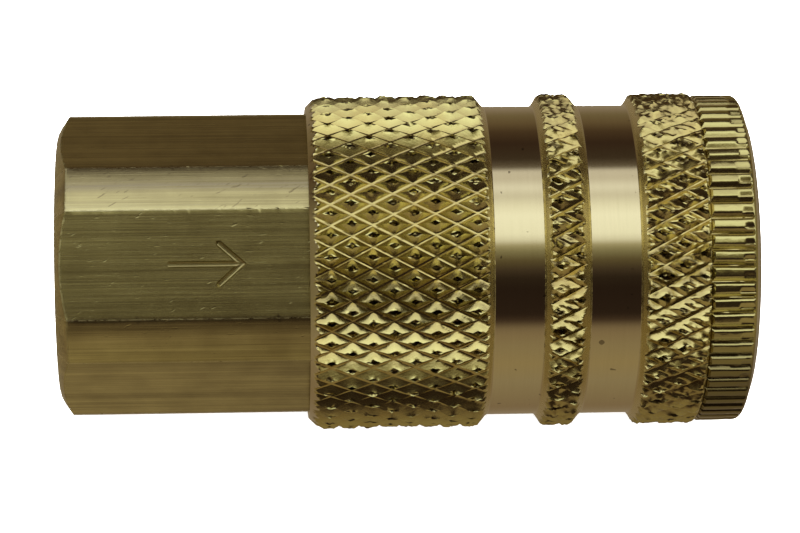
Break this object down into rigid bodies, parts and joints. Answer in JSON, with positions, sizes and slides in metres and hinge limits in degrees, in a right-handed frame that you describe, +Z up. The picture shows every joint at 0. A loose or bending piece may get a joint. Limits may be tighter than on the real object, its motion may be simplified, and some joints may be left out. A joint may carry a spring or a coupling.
{
  "type": "quick disconnect coupler",
  "caption": "Female pull-sleeve quick disconnect coupler: hexagonal body with a female pipe thread, knurled sleeve, locking balls, shut-off valve and knurled nose ring.",
  "frame": {"origin": "on the axis, at the threaded end face of the hexagon, where the inlet thread starts", "axes": "+X along the axis from the threaded end to the plug socket, +Z up through the middle of a flat of the hexagon"},
  "size_m": [0.0499, 0.0242, 0.0242],
  "materials": {
    "hex_brass": "drawn bar, satin, lightly tarnished",
    "sleeve_brass": "knurled and turned, bright",
    "ring_brass": "straight knurled, bright",
    "barrel_brass": "turned",
    "inner_brass": "turned",
    "valve_brass": "turned",
    "nitrile": "matt moulded",
    "spring_steel": "drawn wire",
    "washer_steel": "zinc plated",
    "ball_steel": "polished"
  },
  "bodies": {
    "body": {"hex_adapter": "hex_brass", "socket_barrel": "barrel_brass", "body_seal_ring": "nitrile", "nose_ring": "ring_brass", "retaining_ring": "spring_steel", "sleeve_spring": "spring_steel", "rear_spring_washer": "washer_steel", "plug_seal_ring": "nitrile", "seal_retainer": "inner_brass", "valve_spring": "spring_steel", "valve_guide": "inner_brass"},
    "spring_follower": {"front_spring_washer": "washer_steel"},
    "sleeve": {"grip_sleeve": "sleeve_brass"},
    "valve": {"valve_poppet": "valve_brass", "valve_seal": "nitrile"},
    "ball_1": {"locking_ball_1": "ball_steel"},
    "ball_2": {"locking_ball_2": "ball_steel"},
    "ball_3": {"locking_ball_3": "ball_steel"},
    "ball_4": {"locking_ball_4": "ball_steel"},
    "ball_5": {"locking_ball_5": "ball_steel"},
    "ball_6": {"locking_ball_6": "ball_steel"}
  },
  "joints": [
    {"name": "sleeve_slide", "type": "slide", "parent": "body", "child": "spring_follower", "axis": [-1, 0, 0], "range_m": [0, 0.0044], "stiffness_N_per_m": 2000, "springref_m": -0.003, "deforming": ["sleeve_spring"]},
    {"name": "sleeve_spin", "type": "hinge", "parent": "spring_follower", "child": "sleeve", "pos_m": [0.032, 0, 0], "axis": [1, 0, 0], "continuous": true},
    {"name": "valve_slide", "type": "slide", "parent": "body", "child": "valve", "axis": [-1, 0, 0], "range_m": [0, 0.0035], "stiffness_N_per_m": 300, "springref_m": -0.004, "deforming": ["valve_spring"]},
    {"name": "ball_1_slide", "type": "slide", "parent": "body", "child": "ball_1", "axis": [0, 0, 1], "range_m": [0, 0.00118]},
    {"name": "ball_2_slide", "type": "slide", "parent": "body", "child": "ball_2", "axis": [0, -0.866, 0.5], "range_m": [0, 0.00118]},
    {"name": "ball_3_slide", "type": "slide", "parent": "body", "child": "ball_3", "axis": [0, -0.866, -0.5], "range_m": [0, 0.00118]},
    {"name": "ball_4_slide", "type": "slide", "parent": "body", "child": "ball_4", "axis": [0, 0, -1], "range_m": [0, 0.00118]},
    {"name": "ball_5_slide", "type": "slide", "parent": "body", "child": "ball_5", "axis": [0, 0.866, -0.5], "range_m": [0, 0.00118]},
    {"name": "ball_6_slide", "type": "slide", "parent": "body", "child": "ball_6", "axis": [0, 0.866, 0.5], "range_m": [0, 0.00118]}
  ],
  "couplings": [
    {"joint": "ball_1_slide", "follows": "sleeve_slide", "ratio": 0.26795},
    {"joint": "ball_2_slide", "follows": "sleeve_slide", "ratio": 0.26795},
    {"joint": "ball_3_slide", "follows": "sleeve_slide", "ratio": 0.26795},
    {"joint": "ball_4_slide", "follows": "sleeve_slide", "ratio": 0.26795},
    {"joint": "ball_5_slide", "follows": "sleeve_slide", "ratio": 0.26795},
    {"joint": "ball_6_slide", "follows": "sleeve_slide", "ratio": 0.26795}
  ]
}
